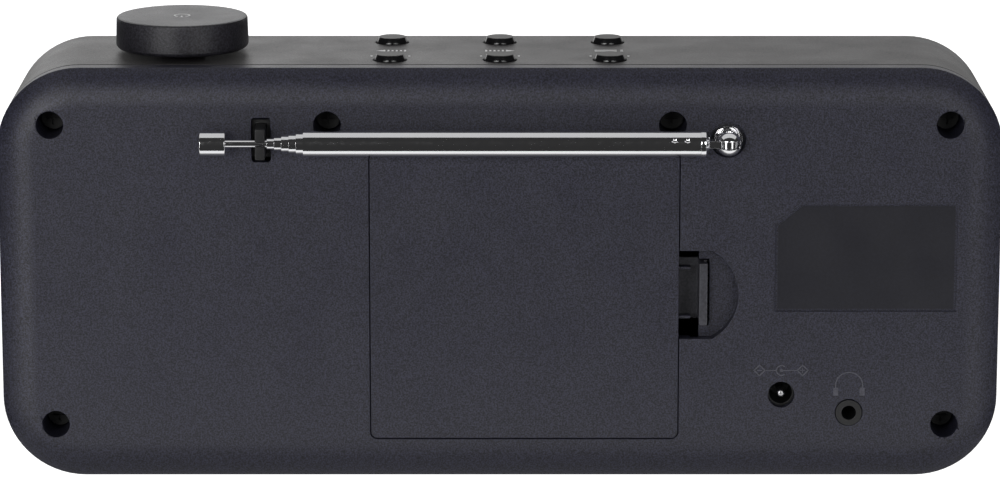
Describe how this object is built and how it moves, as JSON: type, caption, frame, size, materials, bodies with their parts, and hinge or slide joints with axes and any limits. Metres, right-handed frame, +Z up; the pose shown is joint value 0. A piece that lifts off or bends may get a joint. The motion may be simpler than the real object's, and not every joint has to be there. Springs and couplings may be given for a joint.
{
  "type": "tabletop radio",
  "caption": "Long low tabletop radio with rounded corners, a push-and-turn knob and small keys on top, and a telescopic antenna, battery door and jacks at the back.",
  "frame": {"origin": "bottom centre of the whole radio's box, on the surface that the feet stand on", "axes": "+X to the listener's right along the longest side, +Y out of the back, +Z up"},
  "size_m": [0.25, 0.0573, 0.1151],
  "materials": {
    "housing_plastic": "fine satin grain",
    "cover_plastic": "spark-eroded fine grain",
    "black_plastic": "smooth",
    "knob_plastic": "satin",
    "button_plastic": "satin top, polished side",
    "grille_metal": "black powder coat",
    "window_glass": "clear, polished",
    "display": "dark liquid crystal",
    "rubber": "matte",
    "label_film": "smooth satin film",
    "chrome": "mirror polish",
    "steel": "plated",
    "black_steel": "blackened",
    "rotor_plastic": "smooth",
    "circuit_board": "solder mask",
    "capacitor_sleeve": "shrink sleeve",
    "aluminium": "extruded",
    "ferrite": "sintered",
    "cone_paper": "pressed paper",
    "wire_red": "insulated wire"
  },
  "bodies": {
    "radio_body": {"main_housing": "housing_plastic", "front_grille": "grille_metal", "display_window": "window_glass", "display_module": "display", "rear_cover": "cover_plastic", "rear_cover_screws": "black_steel", "rubber_feet": "rubber", "rating_label": "label_film", "antenna_clip": "black_plastic", "battery_box": "black_plastic", "battery_box_screws": "steel", "battery_springs": "steel", "battery_contacts": "steel", "antenna_washer": "steel", "encoder_body": "steel", "encoder_nut": "steel", "switch_board": "circuit_board", "tact_switches": "black_plastic", "main_board": "circuit_board", "tuner_module": "steel", "capacitors": "capacitor_sleeve", "heat_sink": "aluminium", "board_screws": "steel", "dc_jack": "black_plastic", "dc_jack_pin": "steel", "headphone_jack": "black_plastic", "jack_board": "circuit_board", "left_speaker_basket": "steel", "left_speaker_magnet": "ferrite", "left_speaker_cone": "cone_paper", "right_speaker_basket": "steel", "right_speaker_magnet": "ferrite", "right_speaker_cone": "cone_paper", "speaker_gaskets": "rubber", "speaker_screws": "steel", "antenna_lead": "wire_red", "speaker_leads": "wire_red"},
    "antenna_foot": {"antenna_base": "chrome", "antenna_pin": "steel", "antenna_screw": "steel"},
    "antenna_mast": {"antenna_elbow": "chrome", "antenna_tube_1": "chrome"},
    "antenna_stage_2": {"antenna_tube_2": "chrome"},
    "antenna_stage_3": {"antenna_tube_3": "chrome"},
    "antenna_stage_4": {"antenna_tube_4": "chrome"},
    "antenna_stage_5": {"antenna_tube_5": "chrome"},
    "antenna_stage_6": {"antenna_tube_6": "chrome"},
    "antenna_end": {"antenna_rod": "chrome", "antenna_tip": "chrome"},
    "knob_rotor": {"encoder_rotor": "rotor_plastic"},
    "knob": {"volume_knob": "knob_plastic", "encoder_shaft": "steel"},
    "door": {"battery_door": "cover_plastic"},
    "latch": {"door_latch": "black_plastic"},
    "menu_key": {"menu_button": "button_plastic"},
    "info_key": {"info_button": "button_plastic"},
    "preset_key": {"preset_button": "button_plastic"},
    "tune_down_key": {"tune_down_button": "button_plastic"},
    "tune_up_key": {"tune_up_button": "button_plastic"},
    "mode_key": {"mode_button": "button_plastic"}
  },
  "joints": [
    {"name": "antenna_swivel", "type": "hinge", "parent": "radio_body", "child": "antenna_foot", "pos_m": [-0.0565, 0.02538, 0.0885], "axis": [0, -1, 0], "range_deg": [0, 180], "deforming": ["antenna_clip"]},
    {"name": "antenna_tilt", "type": "hinge", "parent": "antenna_foot", "child": "antenna_mast", "pos_m": [-0.0565, 0.02538, 0.0885], "axis": [0, 0, 1], "range_deg": [0, 90], "deforming": ["antenna_clip"]},
    {"name": "antenna_slide_1", "type": "slide", "parent": "antenna_mast", "child": "antenna_stage_2", "axis": [1, 0, 0], "range_m": [0, 0.078]},
    {"name": "antenna_slide_2", "type": "slide", "parent": "antenna_stage_2", "child": "antenna_stage_3", "axis": [1, 0, 0], "range_m": [0, 0.078]},
    {"name": "antenna_slide_3", "type": "slide", "parent": "antenna_stage_3", "child": "antenna_stage_4", "axis": [1, 0, 0], "range_m": [0, 0.078]},
    {"name": "antenna_slide_4", "type": "slide", "parent": "antenna_stage_4", "child": "antenna_stage_5", "axis": [1, 0, 0], "range_m": [0, 0.078]},
    {"name": "antenna_slide_5", "type": "slide", "parent": "antenna_stage_5", "child": "antenna_stage_6", "axis": [1, 0, 0], "range_m": [0, 0.078]},
    {"name": "antenna_slide_6", "type": "slide", "parent": "antenna_stage_6", "child": "antenna_end", "axis": [1, 0, 0], "range_m": [0, 0.078]},
    {"name": "volume_turn", "type": "hinge", "parent": "radio_body", "child": "knob_rotor", "pos_m": [0.0802, -0.00662, 0.106], "axis": [0, 0, 1], "continuous": true},
    {"name": "volume_push", "type": "slide", "parent": "knob_rotor", "child": "knob", "axis": [0, 0, -1], "range_m": [0, 0.0005], "stiffness_N_per_m": 3000},
    {"name": "door_hinge", "type": "hinge", "parent": "radio_body", "child": "door", "pos_m": [0.0326, 0.02088, 0.0486], "axis": [0, 0, -1], "range_deg": [0, 70]},
    {"name": "latch_press", "type": "slide", "parent": "door", "child": "latch", "axis": [1, 0, 0], "range_m": [0, 0.0015], "stiffness_N_per_m": 1500},
    {"name": "menu_press", "type": "slide", "parent": "radio_body", "child": "menu_key", "axis": [0, 0, -1], "range_m": [0, 0.0006], "stiffness_N_per_m": 2500},
    {"name": "info_press", "type": "slide", "parent": "radio_body", "child": "info_key", "axis": [0, 0, -1], "range_m": [0, 0.0006], "stiffness_N_per_m": 2500},
    {"name": "preset_press", "type": "slide", "parent": "radio_body", "child": "preset_key", "axis": [0, 0, -1], "range_m": [0, 0.0006], "stiffness_N_per_m": 2500},
    {"name": "tune_down_press", "type": "slide", "parent": "radio_body", "child": "tune_down_key", "axis": [0, 0, -1], "range_m": [0, 0.0006], "stiffness_N_per_m": 2500},
    {"name": "tune_up_press", "type": "slide", "parent": "radio_body", "child": "tune_up_key", "axis": [0, 0, -1], "range_m": [0, 0.0006], "stiffness_N_per_m": 2500},
    {"name": "mode_press", "type": "slide", "parent": "radio_body", "child": "mode_key", "axis": [0, 0, -1], "range_m": [0, 0.0006], "stiffness_N_per_m": 2500}
  ]
}
